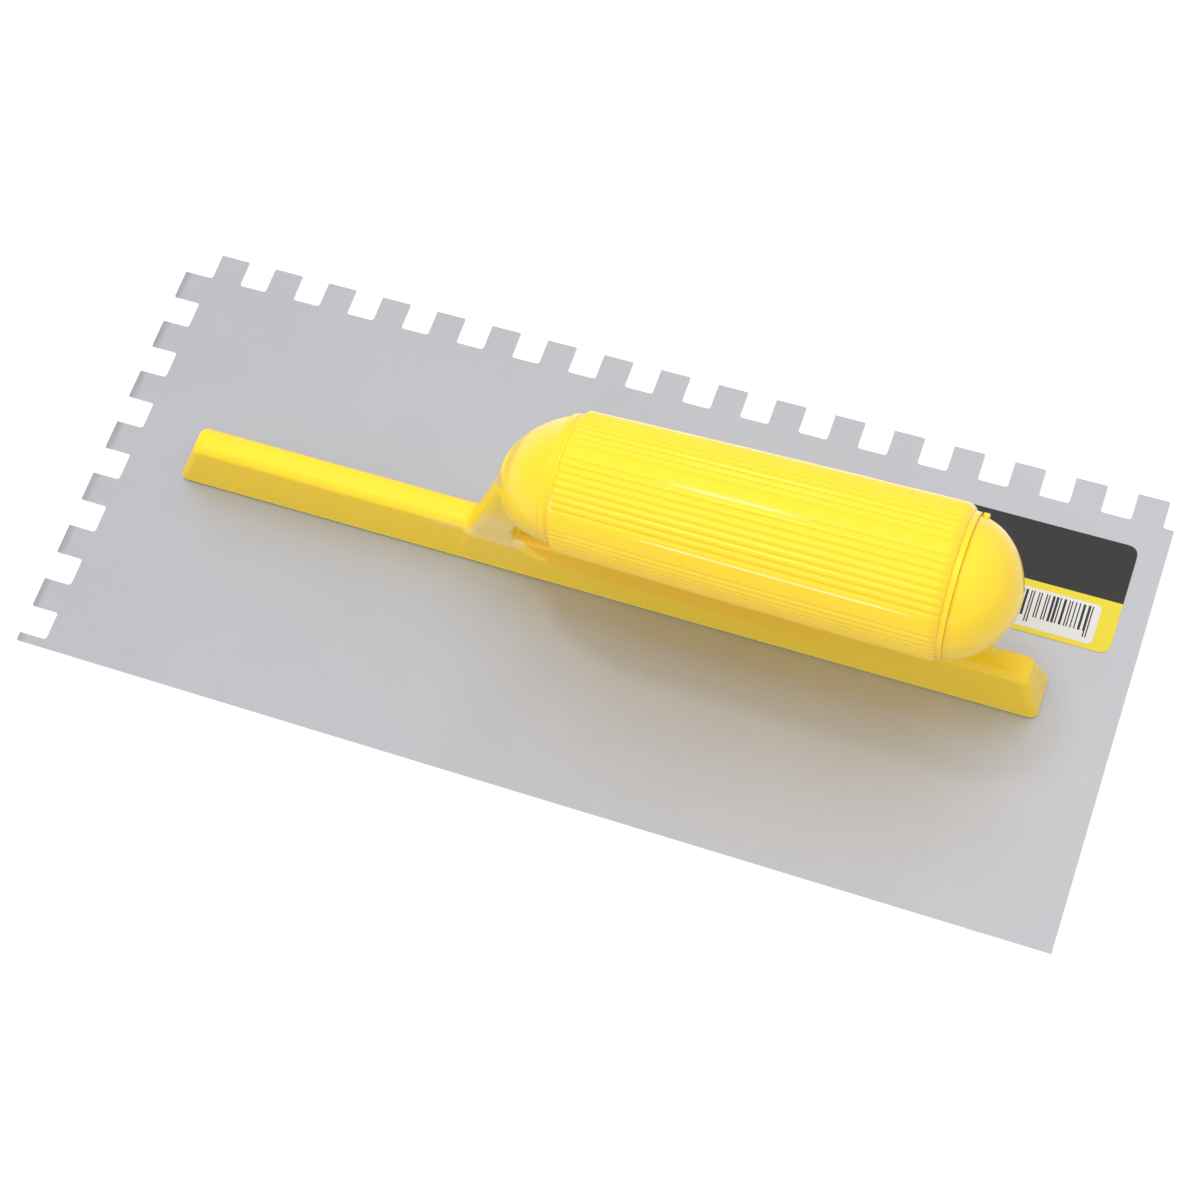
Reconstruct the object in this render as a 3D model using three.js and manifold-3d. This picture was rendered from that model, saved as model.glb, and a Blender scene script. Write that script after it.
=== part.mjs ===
// Notched trowel: a thin steel blade with square teeth on two edges, a moulded plastic handle
// whose base bar is riveted along the blade, an end cap in the hollow grip and a sticker.
// Units are millimetres. The origin is under the middle of the blade, +X runs along its
// length to the plain short end, +Y to the toothed long edge and +Z up.

import * as THREE from "three";
import { mergeVertices } from "three/addons/utils/BufferGeometryUtils.js";
import Module from "manifold-3d";

const wasm = await Module();
wasm.setup();

const { degToRad } = THREE.MathUtils;

// Blade
const bladeLength = 280;
const bladeWidth = 124;
const bladeThickness = 0.75;
const notchWidth = 8.1;
const toothWidth = 8.2;
const notchDepth = 7.65;
const notchRootRadius = 0.9;
const leastTooth = 0.8;

// Handle as a whole: its middle plane lies this far to the toothed side of the blade's middle
const handleSideOffset = 0.8;

// Base bar of the handle
const barRearMargin = 23.6;
const barFrontMargin = 20.1;
const barHeight = 16.4;
const barBaseWidth = 13.2;
const barTopWidth = 7.2;
const barRearLean = 7.4;
const barFrontLean = 4.9;
const barEdgeRadius = 1.9;
const barEndRadius = 2.6;
const barCornerRadius = 1.3;
const barWall = 2.2;

// Rivets under the base bar
const rivetCount = 7;
const rivetEndMargin = 16.15;
const rivetShankRadius = 1.6;
const rivetHeadRadius = 3.1;
const rivetHeadHeight = 1.5;
const rivetLength = 11;
const rivetClearance = 0.12;
const dimpleHeight = 0.8;
const dimpleClearance = 0.3;
const rivetBlockLength = 11;

// Grip, a hollow barrel along X above the base bar
const gripHeight = 54.3;
const gripRise = 1.5;
const gripLength = 96.9;
const gripRearRadius = 17.5;
const gripFrontRadius = 19.05;
const gripCrown = 0.2;
const gripStart = 1.75;
const gripRearChamfer = 1.2;
const gripFrontRound = 2.4;
const ribDepth = 0.5;
const ribPitchAngle = degToRad(5.98);
const upperRibGrooves = 8;
const topLandHalfAngle = degToRad(4.4);
const sideLandAngle = degToRad(14.6);
const lowerRibPitchAngle = degToRad(5.5);
const ringRadius = 17.75;
const ringLength = 1.4;
const boreRadius = 14;
const boreDraft = 1.1;
const boreRearWall = 6;

// Rounded rear end of the grip and the groove between it and the ribs
const domeRadius = 16.2;
const domeDepth = 15.3;
const domeLift = 0.65;
const domeDroopAngle = degToRad(23);
const domeEndAngle = degToRad(87);
const grooveWidth = 1.9;
const grooveDepth = 0.9;

// Neck between the base bar and the rounded rear end
const neckWidth = 9.4;
const neckThickness = 11.2;
const neckFootX = -30.7;
const neckSlopeAngle = degToRad(68.7);
const neckFootRadius = 2.2;
const neckLowerRadius = 8.6;
const neckUpperRadius = 5;
const neckLowerDip = 5.7;
const neckArcDrop = 0.75;
const neckRearRadius = 3;
const neckFrontRadius = 1.3;
const neckSink = 9;

// End cap
const capRadius = 17.1;
const capDepth = 14;
const capDrop = 1.3;
const capSeam = 0.3;
const capWall = 2.6;
const spigotLength = 7;
const spigotClearance = 0.3;
const nubLength = 1.6;
const nubWidth = 2.4;
const nubHeight = 1;
const nubAngle = degToRad(65);

// Sticker on the blade
const labelLength = 70;
const labelThickness = 0.15;
const labelCornerRadius = 3;
const labelFrontMargin = 7;
const labelRootMargin = 7.15;
const labelBarMargin = 9.1;

// Cuts run this far past the faces that they open
const overrun = 2;

// Facet counts
const roundSteps = 32;
const rivetSteps = 16;
const domeSteps = 48;
const domeRings = 9;
const neckSlices = 24;
const cornerSteps = 4;
const edgeSteps = 4;
const capSteps = 48;
const capRings = 10;
const notchSteps = 3;
const labelSteps = 5;

// Share of a rib's pitch that its flat crest takes, and that the flat groove floor takes
const ribCrestShare = 0.42;
const ribFloorShare = 0.22;

// Places of the ribbed barrel's rings along its full part
const barrelRingShares = [0, 0.25, 0.5, 0.75, 1];

// Powers that bend the quarter rounds of the dome's and the cap's outlines
const domeLengthShare = 2;
const domeRadiusShare = 0.43;
const capBluntShare = 1.1;

// Materials
function plastic(name) {
  return new THREE.MeshStandardMaterial({ name, color: 0xf7e22a, roughness: 0.28, metalness: 0 });
}

function steel(name, color, roughness) {
  return new THREE.MeshStandardMaterial({ name, color, roughness, metalness: 1 });
}

function paper(name) {
  return new THREE.MeshStandardMaterial({ name, color: 0x2c2a2c, roughness: 0.35, metalness: 0 });
}

// A closed geometry as a solid for cutting and joining
function solidOf(geometry) {
  const bare = geometry.clone();
  bare.deleteAttribute("normal");
  bare.deleteAttribute("uv");
  const merged = mergeVertices(bare);
  return new wasm.Manifold(new wasm.Mesh({
    numProp: 3,
    vertProperties: new Float32Array(merged.attributes.position.array),
    triVerts: new Uint32Array(merged.index.array),
  }));
}

function geometryOf(solid) {
  const mesh = solid.getMesh();
  const geometry = new THREE.BufferGeometry();
  geometry.setAttribute("position", new THREE.BufferAttribute(mesh.vertProperties, mesh.numProp));
  geometry.setIndex(new THREE.BufferAttribute(mesh.triVerts, 1));
  return geometry.toNonIndexed();
}

// Swaps axes without rounding: the outline's own x, y and depth go to the given directions
function laid(geometry, outlineX, outlineY, depth) {
  return geometry.applyMatrix4(new THREE.Matrix4().makeBasis(outlineX, outlineY, depth));
}

const alongX = new THREE.Vector3(1, 0, 0);
const alongY = new THREE.Vector3(0, 1, 0);
const alongZ = new THREE.Vector3(0, 0, 1);
const againstY = new THREE.Vector3(0, -1, 0);

// An outline given by its corners, each [x, y, radius], as a shape with rounded corners
function roundedShape(corners) {
  const shape = new THREE.Shape();
  corners.forEach(([x, y, radius], i) => {
    const corner = new THREE.Vector2(x, y);
    const [lastX, lastY] = corners[(i + corners.length - 1) % corners.length];
    const [nextX, nextY] = corners[(i + 1) % corners.length];
    const back = new THREE.Vector2(lastX, lastY).sub(corner).normalize();
    const on = new THREE.Vector2(nextX, nextY).sub(corner).normalize();
    const half = Math.acos(THREE.MathUtils.clamp(back.dot(on), -1, 1)) / 2;
    const reach = radius / Math.tan(half);
    const start = corner.clone().addScaledVector(back, reach);
    const end = corner.clone().addScaledVector(on, reach);
    if (i === 0) {
      shape.moveTo(start.x, start.y);
    } else {
      shape.lineTo(start.x, start.y);
    }
    if (radius > 0) {
      shape.quadraticCurveTo(corner.x, corner.y, end.x, end.y);
    }
  });
  shape.closePath();
  return shape;
}

// A closed skin over rings of points, all with the same count, with a fan over each end
function loft(rings) {
  const count = rings[0].length;
  const points = rings.flat();
  const first = centreOf(rings[0]);
  const last = centreOf(rings.at(-1));
  const index = [];
  for (let r = 0; r + 1 < rings.length; r++) {
    for (let i = 0; i < count; i++) {
      const a = r * count + i;
      const b = r * count + ((i + 1) % count);
      index.push(a, b, a + count, b, b + count, a + count);
    }
  }
  const firstCentre = points.length;
  const lastCentre = firstCentre + 1;
  const lastRing = (rings.length - 1) * count;
  for (let i = 0; i < count; i++) {
    const j = (i + 1) % count;
    index.push(firstCentre, j, i);
    index.push(lastCentre, lastRing + i, lastRing + j);
  }
  const geometry = new THREE.BufferGeometry().setFromPoints([...points, first, last]);
  geometry.setIndex(index);
  return geometry;
}

function centreOf(ring) {
  const sum = new THREE.Vector3();
  ring.forEach((point) => sum.add(point));
  return sum.divideScalar(ring.length);
}

// A solid turned about an axis along X: the profile is a list of [x, radius]
function turnedAlongX(profile, height, steps) {
  const outline = profile.map(([x, radius]) => new THREE.Vector2(radius, x));
  const turned = new THREE.LatheGeometry(outline, steps);
  return laid(turned, alongZ, alongX, alongY).translate(0, 0, height);
}

// Blade: the toothed outline, then a dimple and a countersunk hole for each rivet

// Spans [start, end] of the teeth along an edge, counted from the corner that is cut out
function teethAlong(edgeLength, first) {
  const spans = [];
  for (let start = first; start + leastTooth < edgeLength; start += notchWidth + toothWidth) {
    spans.push([start, Math.min(start + toothWidth, edgeLength)]);
  }
  return spans;
}

function bladeOutline() {
  const right = bladeLength / 2;
  const top = bladeWidth / 2;
  const left = -right;
  const bottom = -top;
  const root = notchRootRadius;
  const corners = [[left, bottom, 0], [right, bottom, 0]];

  // Long toothed edge, from the plain short end back to the cut-out corner
  const longTeeth = teethAlong(bladeLength, notchWidth).reverse();
  const openEnd = left + longTeeth[0][1] < right;
  if (openEnd) {
    corners.push([right, top - notchDepth, 0]);
  }
  longTeeth.forEach(([start, end], i) => {
    const isFirst = i === 0;
    corners.push([left + end, top - notchDepth, isFirst && !openEnd ? 0 : root]);
    corners.push([left + end, top, 0]);
    corners.push([left + start, top, 0]);
    corners.push([left + start, top - notchDepth, root]);
  });
  if (!openEnd) {
    corners.splice(2, 1);
  }

  // Short toothed edge, down from the cut-out corner, whose root both edges share
  const shortTeeth = teethAlong(bladeWidth, notchDepth);
  shortTeeth.forEach(([start, end], i) => {
    if (i > 0) {
      corners.push([left + notchDepth, top - start, root]);
    }
    corners.push([left, top - start, 0]);
    if (end < bladeWidth) {
      corners.push([left, top - end, 0]);
      corners.push([left + notchDepth, top - end, root]);
    }
  });
  if (shortTeeth.at(-1)[1] < bladeWidth) {
    corners.push([left + notchDepth, bottom, 0]);
    corners.shift();
  }
  return roundedShape(corners);
}

// The base bar runs along the blade between a margin at each short end
const barRear = barRearMargin - bladeLength / 2;
const barFront = bladeLength / 2 - barFrontMargin;

const rivetPlaces = Array.from({ length: rivetCount }, (_, i) => {
  const first = barRear + rivetEndMargin;
  const last = barFront - rivetEndMargin;
  return THREE.MathUtils.lerp(first, last, i / (rivetCount - 1));
});

// A cone frustum standing on height z, wide at the bottom
function frustum(x, z, lowRadius, highRadius, height, steps) {
  const cone = new THREE.CylinderGeometry(highRadius, lowRadius, height, steps);
  return laid(cone, alongX, alongZ, againstY).translate(x, 0, z + height / 2);
}

// How much a cone of the rivet head's slope narrows over a height
function headNarrowing(height) {
  return height * (rivetHeadRadius - rivetShankRadius) / rivetHeadHeight;
}

const dimpleRadius = rivetHeadRadius + bladeThickness;

function bladeGeometry() {
  const sheet = new THREE.ExtrudeGeometry(bladeOutline(), {
    depth: bladeThickness,
    bevelEnabled: false,
    curveSegments: notchSteps,
  });
  let blade = solidOf(sheet);
  const seatHeight = bladeThickness + dimpleHeight;
  for (const x of rivetPlaces) {
    const dimple = frustum(
      x, bladeThickness / 2, dimpleRadius + headNarrowing(bladeThickness / 2),
      dimpleRadius - headNarrowing(dimpleHeight), bladeThickness / 2 + dimpleHeight, rivetSteps,
    );
    blade = blade.add(solidOf(dimple.translate(0, handleSideOffset, 0)));
  }
  for (const x of rivetPlaces) {
    const wide = rivetHeadRadius + rivetClearance + headNarrowing(overrun);
    const sinkHeight = rivetHeadHeight + overrun;
    const sink = frustum(x, -overrun, wide, wide - headNarrowing(sinkHeight), sinkHeight, rivetSteps);
    const holeRadius = rivetShankRadius + rivetClearance;
    const hole = frustum(x, -overrun, holeRadius, holeRadius, seatHeight + 2 * overrun, rivetSteps);
    sink.translate(0, handleSideOffset, 0);
    hole.translate(0, handleSideOffset, 0);
    blade = blade.subtract(solidOf(sink)).subtract(solidOf(hole));
  }
  return geometryOf(blade);
}

// Rivet: a countersunk head flush with the underside and a straight shank up into the bar
function rivetGeometry() {
  const profile = [
    [0, 0],
    [rivetHeadRadius, 0],
    [rivetShankRadius, rivetHeadHeight],
    [rivetShankRadius, rivetLength - rivetShankRadius / 2],
    [rivetShankRadius / 2, rivetLength],
    [0, rivetLength],
  ].map(([radius, z]) => new THREE.Vector2(radius, z));
  const turned = new THREE.LatheGeometry(profile, rivetSteps);
  return laid(turned, alongX, alongZ, againstY);
}

// Handle

// Height of the grip's own axis over the blade's underside at a place along it
function gripAxisHeight(x) {
  return bladeThickness + gripHeight + gripRise * x / gripLength;
}

// How far a leaning wall with a rounded top edge stands in from its foot at a height
function wallInset(z, height, lean, radius) {
  const slope = Math.atan2(lean, height);
  const centreZ = height - radius;
  const tangentZ = centreZ + radius * Math.sin(slope);
  if (z <= tangentZ) {
    return z * lean / height;
  }
  const rise = Math.min(z - centreZ, radius);
  const centreInset = tangentZ * lean / height + radius * Math.cos(slope);
  return centreInset - Math.sqrt(radius ** 2 - rise ** 2);
}

// A level ring of points round a rectangle, with a radius for its rear and front corners
function levelRing(rear, front, half, rearRadius, frontRadius, z) {
  const ring = [];
  const corners = [[rear, -1, rearRadius], [front, -1, frontRadius],
    [front, 1, frontRadius], [rear, 1, rearRadius]];
  corners.forEach(([x, side, radius], i) => {
    const centreX = x === rear ? x + radius : x - radius;
    const centreY = side * (half - radius);
    for (let s = 0; s <= cornerSteps; s++) {
      const angle = Math.PI + (i + s / cornerSteps) * Math.PI / 2;
      const px = centreX + radius * Math.cos(angle);
      const py = centreY + radius * Math.sin(angle);
      ring.push(new THREE.Vector3(px, py, z));
    }
  });
  return ring;
}

// Base bar: level rings whose four walls lean in and round over into the flat top
function barSolid() {
  const sideLean = (barBaseWidth - barTopWidth) / 2;
  const largest = Math.max(barEdgeRadius, barEndRadius);
  const heights = [0, (barHeight - largest) / 2];
  for (let s = 0; s <= edgeSteps; s++) {
    const turn = s / edgeSteps * Math.PI / 2;
    heights.push(barHeight - largest * (1 - Math.sin(turn)));
  }
  const rings = heights.map((z) => {
    const half = barBaseWidth / 2 - wallInset(z, barHeight, sideLean, barEdgeRadius);
    const from = barRear + wallInset(z, barHeight, barRearLean, barEndRadius);
    const to = barFront - wallInset(z, barHeight, barFrontLean, barEndRadius);
    const corner = Math.min(barCornerRadius, half / 2);
    return levelRing(from, to, half, corner, corner, z + bladeThickness);
  });
  return solidOf(loft(rings));
}

// Hollows in the bar's underside, one between each two rivet blocks
function barPocket(from, to) {
  const roof = barHeight - barWall;
  const sideSlope = (barBaseWidth - barTopWidth) / 2 / barHeight;
  const lowHalf = barBaseWidth / 2 - barWall;
  const highHalf = lowHalf - roof * sideSlope;
  const draft = roof * sideSlope / 4;
  const ringAt = (inset, half, z) => [
    new THREE.Vector3(from + inset, -half, z),
    new THREE.Vector3(to - inset, -half, z),
    new THREE.Vector3(to - inset, half, z),
    new THREE.Vector3(from + inset, half, z),
  ];
  const below = ringAt(-draft, lowHalf + overrun * sideSlope, bladeThickness - overrun);
  const above = ringAt(draft, highHalf, bladeThickness + roof);
  return loft([below, above]);
}

function barPockets() {
  const halfBlock = rivetBlockLength / 2;
  const rearEnd = barRear + barRearLean + barWall;
  const frontEnd = barFront - barFrontLean - barWall;
  const stops = [rearEnd, ...rivetPlaces.flatMap((x) => [x - halfBlock, x + halfBlock]), frontEnd];
  const pockets = [];
  for (let i = 0; i + 1 < stops.length; i += 2) {
    if (stops[i + 1] - stops[i] > barWall) {
      pockets.push(barPocket(stops[i], stops[i + 1]));
    }
  }
  return pockets;
}

// Neck: level rings from inside the bar up into the grip. Its rear edge leans along the slope,
// sweeping out over the bar. Its opening edge is a lower arc, a leaning line and an upper arc
// that ends a little below the rounded rear end of the grip.
function neckRearEdge(z) {
  const line = neckFootX + (z - barHeight) / Math.tan(neckSlopeAngle);
  const rise = THREE.MathUtils.clamp(z - barHeight, 0, neckFootRadius);
  return line - neckFootRadius + Math.sqrt(neckFootRadius ** 2 - (neckFootRadius - rise) ** 2);
}

function neckOpeningEdge(z) {
  const lean = Math.PI / 2 - neckSlopeAngle;
  const line = (height) => neckFootX + neckThickness + (height - barHeight) * Math.tan(lean);
  const lowerCentreZ = barHeight - neckLowerDip + neckLowerRadius;
  const lowerTangentZ = lowerCentreZ + neckLowerRadius * Math.sin(lean);
  if (z < lowerTangentZ) {
    const centreX = line(lowerTangentZ) + neckLowerRadius * Math.cos(lean);
    const drop = Math.min(lowerCentreZ - z, neckLowerRadius);
    return centreX - Math.sqrt(neckLowerRadius ** 2 - drop ** 2);
  }
  const domeUnderside = gripHeight + domeLift - domeRadius;
  const upperCentreZ = domeUnderside - neckArcDrop - neckUpperRadius;
  const upperTangentZ = upperCentreZ + neckUpperRadius * Math.sin(lean);
  if (z > upperTangentZ) {
    const centreX = line(upperTangentZ) + neckUpperRadius * Math.cos(lean);
    const climb = Math.min(z - upperCentreZ, neckUpperRadius);
    return centreX - Math.sqrt(neckUpperRadius ** 2 - climb ** 2);
  }
  return line(z);
}

function neckSolid() {
  const low = barHeight - neckSink;
  const high = gripHeight;
  const half = neckWidth / 2;
  const rings = [];
  for (let s = 0; s < neckSlices; s++) {
    const z = low + (high - low) * s / (neckSlices - 1);
    const from = neckRearEdge(z);
    const to = neckOpeningEdge(z);
    rings.push(levelRing(from, to, half, neckRearRadius, neckFrontRadius, z + bladeThickness));
  }
  return solidOf(loft(rings));
}

// Rounded rear end: a blunt dome whose sections sink as they near the tip
const grooveStart = gripStart - grooveWidth;

function domeSolid() {
  const rings = [];
  for (let r = 0; r <= domeRings; r++) {
    const turn = r / domeRings * domeEndAngle;
    const back = domeDepth * Math.sin(turn) ** domeLengthShare;
    const radius = domeRadius * Math.cos(turn) ** domeRadiusShare;
    const centre = gripAxisHeight(0) + domeLift - back * Math.tan(domeDroopAngle);
    rings.push(circle(grooveStart - back, centre, radius, domeSteps));
  }
  return solidOf(loft(rings.reverse()));
}

// A ring of points about an axis along X, from the top round to the toothed side
function circle(x, centreHeight, radius, steps) {
  const ring = [];
  for (let i = 0; i < steps; i++) {
    const angle = i / steps * Math.PI * 2;
    ring.push(new THREE.Vector3(x, -radius * Math.sin(angle), centreHeight + radius * Math.cos(angle)));
  }
  return ring;
}

// Half of the rib pattern, from the top to the bottom of the grip, as [angle, crest or floor]
function ribPattern() {
  const half = [[0, 1], [topLandHalfAngle, 1]];
  const field = (start, pitch, grooves) => {
    const crest = pitch * ribCrestShare / 2;
    const floor = pitch * ribFloorShare / 2;
    for (let g = 0; g < grooves; g++) {
      const middle = start + (g + 1 / 2) * pitch;
      if (g > 0) {
        half.push([start + g * pitch + crest, 1]);
      }
      half.push([middle - floor, 0], [middle + floor, 0]);
      if (g + 1 < grooves) {
        half.push([start + (g + 1) * pitch - crest, 1]);
      }
    }
  };
  const sideLand = topLandHalfAngle + upperRibGrooves * ribPitchAngle;
  field(topLandHalfAngle, ribPitchAngle, upperRibGrooves);
  half.push([sideLand, 1], [sideLand + sideLandAngle, 1]);
  const lowerStart = sideLand + sideLandAngle;
  const lowerGrooves = Math.round((Math.PI - lowerStart) / lowerRibPitchAngle);
  field(lowerStart, (Math.PI - lowerStart) / lowerGrooves, lowerGrooves);
  half.push([Math.PI, 1]);
  const mirrored = half.slice(1, -1).reverse().map(([angle, level]) => [2 * Math.PI - angle, level]);
  return [...half, ...mirrored];
}

function ribbedRing(x, crestRadius, depth) {
  const centre = gripAxisHeight(x);
  return ribPattern().map(([angle, level]) => {
    const radius = crestRadius - (1 - level) * depth;
    return new THREE.Vector3(x, -radius * Math.sin(angle), centre + radius * Math.cos(angle));
  });
}

// Crest radius along the grip: an even taper with a slight swell in the middle
function gripRadius(x) {
  const share = x / gripLength;
  const swell = 4 * gripCrown * share * (1 - share);
  return gripRearRadius + (gripFrontRadius - gripRearRadius) * share + swell;
}

function barrelSolid() {
  const from = gripStart + gripRearChamfer;
  const to = gripLength - gripFrontRound;
  const rings = [ribbedRing(gripStart, gripRadius(gripStart) - gripRearChamfer, 0)];
  for (const share of barrelRingShares) {
    const x = from + (to - from) * share;
    rings.push(ribbedRing(x, gripRadius(x), ribDepth));
  }

  // Front shoulder: a quarter round from the crests down to the plain ring
  const drop = gripRadius(to) - ringRadius;
  for (let s = 1; s < edgeSteps; s++) {
    const turn = s / edgeSteps * Math.PI / 2;
    const radius = ringRadius + drop * Math.cos(turn);
    rings.push(ribbedRing(to + gripFrontRound * Math.sin(turn), radius, ribDepth * Math.cos(turn)));
  }
  rings.push(ribbedRing(gripLength, ringRadius, 0));
  return solidOf(loft(rings));
}

// Core inside the ribs: it shows as the groove's floor at the rear and as the plain ring in front
const gripEnd = gripLength + ringLength;
const ringHeight = gripAxisHeight(gripLength) - capDrop / 2;

function coreSolid() {
  const floor = domeRadius - grooveDepth;
  const rings = [
    circle(grooveStart - grooveWidth, gripAxisHeight(0) + domeLift, floor - grooveDepth, domeSteps),
    circle(grooveStart, gripAxisHeight(0) + domeLift, floor, domeSteps),
    circle(gripStart, gripAxisHeight(gripStart), floor, domeSteps),
    circle(gripLength - gripFrontRound, ringHeight, ringRadius, domeSteps),
    circle(gripEnd, ringHeight, ringRadius, domeSteps),
  ];
  return solidOf(loft(rings));
}

// Bore of the grip, open at its front end, narrowing a little to a coned blind end
const boreHeight = gripAxisHeight(gripLength) - capDrop;

function boreSolid() {
  const rearRadius = boreRadius - boreDraft;
  const rearX = grooveStart + boreRearWall;
  const rings = [
    circle(rearX - rearRadius / 2, gripAxisHeight(0), rearRadius / 2, roundSteps),
    circle(rearX, gripAxisHeight(0), rearRadius, roundSteps),
    circle(gripEnd - 2 * spigotLength, boreHeight, boreRadius, roundSteps),
    circle(gripEnd + overrun, boreHeight, boreRadius, roundSteps),
  ];
  return solidOf(loft(rings));
}

function handleGeometry() {
  let handle = barSolid()
    .add(neckSolid())
    .add(domeSolid())
    .add(coreSolid())
    .add(barrelSolid())
    .subtract(boreSolid());
  for (const pocket of barPockets()) {
    handle = handle.subtract(solidOf(pocket));
  }
  const dimpleRoof = dimpleHeight + dimpleClearance;
  for (const x of rivetPlaces) {
    const low = dimpleRadius + dimpleClearance + headNarrowing(overrun);
    const recess = frustum(
      x, bladeThickness - overrun, low, low - headNarrowing(overrun + dimpleRoof),
      overrun + dimpleRoof, rivetSteps,
    );
    const holeRadius = rivetShankRadius + rivetClearance;
    const hole = frustum(x, 0, holeRadius, holeRadius, rivetLength + dimpleClearance, rivetSteps);
    handle = handle.subtract(solidOf(recess)).subtract(solidOf(hole));
  }
  return geometryOf(handle);
}

// End cap: a hollow dome with a spigot in the bore and the moulding's gate nub on its rim
function capGeometry() {
  const rim = gripEnd + capSeam;
  const spigotRadius = boreRadius - spigotClearance;
  const innerRadius = spigotRadius - capWall;
  const quarter = (depth, radius) => {
    const arc = [];
    for (let s = 0; s <= capRings; s++) {
      const turn = s / capRings * Math.PI / 2;
      const across = Math.sin(turn) ** capBluntShare;
      arc.push([rim + depth * Math.cos(turn) ** capBluntShare, radius * across]);
    }
    arc[0][1] = 0;
    return arc;
  };
  const outer = quarter(capDepth, capRadius);
  const inner = quarter(capDepth - capWall, innerRadius).reverse();
  const profile = [
    ...outer,
    [rim, spigotRadius],
    [rim - spigotLength, spigotRadius],
    [rim - spigotLength, innerRadius],
    ...inner,
  ];
  const body = solidOf(turnedAlongX(profile.reverse(), boreHeight, capSteps));
  const nub = new THREE.BoxGeometry(nubLength, nubWidth, capWall + nubHeight);
  nub.translate(0, 0, capRadius + nubHeight - (capWall + nubHeight) / 2);
  nub.rotateX(-nubAngle);
  nub.translate(rim + nubLength / 2, 0, boreHeight);
  return geometryOf(body.add(solidOf(nub)));
}

// Sticker: a thin sheet with rounded corners, flat on the blade between the bar and the notches
function labelGeometry() {
  const front = bladeLength / 2 - labelFrontMargin;
  const top = bladeWidth / 2 - notchDepth - labelRootMargin;
  const low = handleSideOffset + barBaseWidth / 2 + labelBarMargin;
  const shape = roundedShape([
    [front - labelLength, low, labelCornerRadius],
    [front, low, labelCornerRadius],
    [front, top, labelCornerRadius],
    [front - labelLength, top, labelCornerRadius],
  ]);
  const sheet = new THREE.ExtrudeGeometry(shape, {
    depth: labelThickness,
    bevelEnabled: false,
    curveSegments: labelSteps,
  });
  return sheet.translate(0, 0, bladeThickness);
}

// Assembly
function piece(name, geometry, material) {
  const mesh = new THREE.Mesh(geometry, material);
  mesh.name = name;
  geometry.computeVertexNormals();
  return mesh;
}

const trowel = new THREE.Group();
trowel.name = "notched_trowel";
trowel.add(piece("blade", bladeGeometry(), steel("blade steel", 0xc4c3c7, 0.34)));
trowel.add(piece("label", labelGeometry(), paper("label paper")));

const handle = new THREE.Group();
handle.position.y = handleSideOffset;
handle.add(piece("handle", handleGeometry(), plastic("handle plastic")));
handle.add(piece("end_cap", capGeometry(), plastic("cap plastic")));
rivetPlaces.forEach((x, i) => {
  const rivet = piece(`rivet_${i + 1}`, rivetGeometry(), steel("rivet steel", 0xb9b9bb, 0.4));
  rivet.position.x = x;
  handle.add(rivet);
});
trowel.add(handle);

export default trowel;
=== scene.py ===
import math

import bmesh
import bpy
import numpy as np
from mathutils import Matrix, Vector


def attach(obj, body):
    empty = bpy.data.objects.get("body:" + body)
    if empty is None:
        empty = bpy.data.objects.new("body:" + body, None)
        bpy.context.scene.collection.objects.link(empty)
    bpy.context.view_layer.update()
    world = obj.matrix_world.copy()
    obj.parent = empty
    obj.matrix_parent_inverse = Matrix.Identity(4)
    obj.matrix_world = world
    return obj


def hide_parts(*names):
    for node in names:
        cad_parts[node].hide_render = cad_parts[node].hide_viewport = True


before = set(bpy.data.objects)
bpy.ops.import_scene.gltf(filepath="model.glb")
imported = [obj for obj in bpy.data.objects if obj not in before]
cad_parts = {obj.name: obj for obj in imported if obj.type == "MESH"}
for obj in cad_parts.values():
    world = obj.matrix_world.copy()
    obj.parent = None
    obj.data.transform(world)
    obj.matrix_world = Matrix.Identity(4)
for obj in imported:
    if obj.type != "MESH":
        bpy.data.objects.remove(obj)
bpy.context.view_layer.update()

# Sizes are in metres, in the frame of the drawing: the origin is under the middle of the blade,
# +X runs to the blade's plain short end, +Y to its toothed long edge and +Z up.
MM = 0.001
QUARTER_TURN = math.pi / 2

# Blade
BLADE_THICKNESS = 0.75 * MM
BLADE_EDGE_ROUND = 0.06 * MM
BLADE_EDGE_ANGLE = math.radians(40)
BLADE_FLAT_ANGLE = math.radians(1)

# Middle plane of the handle, to the toothed side of the blade's middle
HANDLE_Y = 0.8 * MM

# Base bar
BAR_LENGTH = 237.2 * MM
BAR_MIDDLE_X = 2.2 * MM
BAR_HEIGHT = 16.4 * MM
BAR_TOP = BLADE_THICKNESS + BAR_HEIGHT
BAR_BASE_WIDTH = 13.2 * MM
BAR_TOP_WIDTH = 7.2 * MM
BAR_SIDE_LEAN = (BAR_BASE_WIDTH - BAR_TOP_WIDTH) / 2
BAR_REAR_LEAN = 7.4 * MM
BAR_FRONT_LEAN = 4.3 * MM
BAR_EDGE_RADIUS = 2.9 * MM
BAR_END_RADIUS = 2.6 * MM
BAR_CORNER_RADIUS = 2.2 * MM
BAR_CORNER_SHARE = 0.9
BAR_FOOT_GAP = 0.4 * MM
BAR_FOOT_INSET = 0.9 * MM
BAR_WALL_START = BAR_FOOT_GAP * 2
# Height and inset of the rings at the foot, which stands in from the walls
BAR_FOOT_RINGS = ((0, BAR_FOOT_INSET), (BAR_FOOT_GAP, BAR_FOOT_INSET),
                  (BAR_FOOT_GAP * 1.5, BAR_FOOT_GAP / 6), (BAR_WALL_START, 0))
BAR_EDGE_RINGS = 9
CORNER_POINTS = 9

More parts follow.
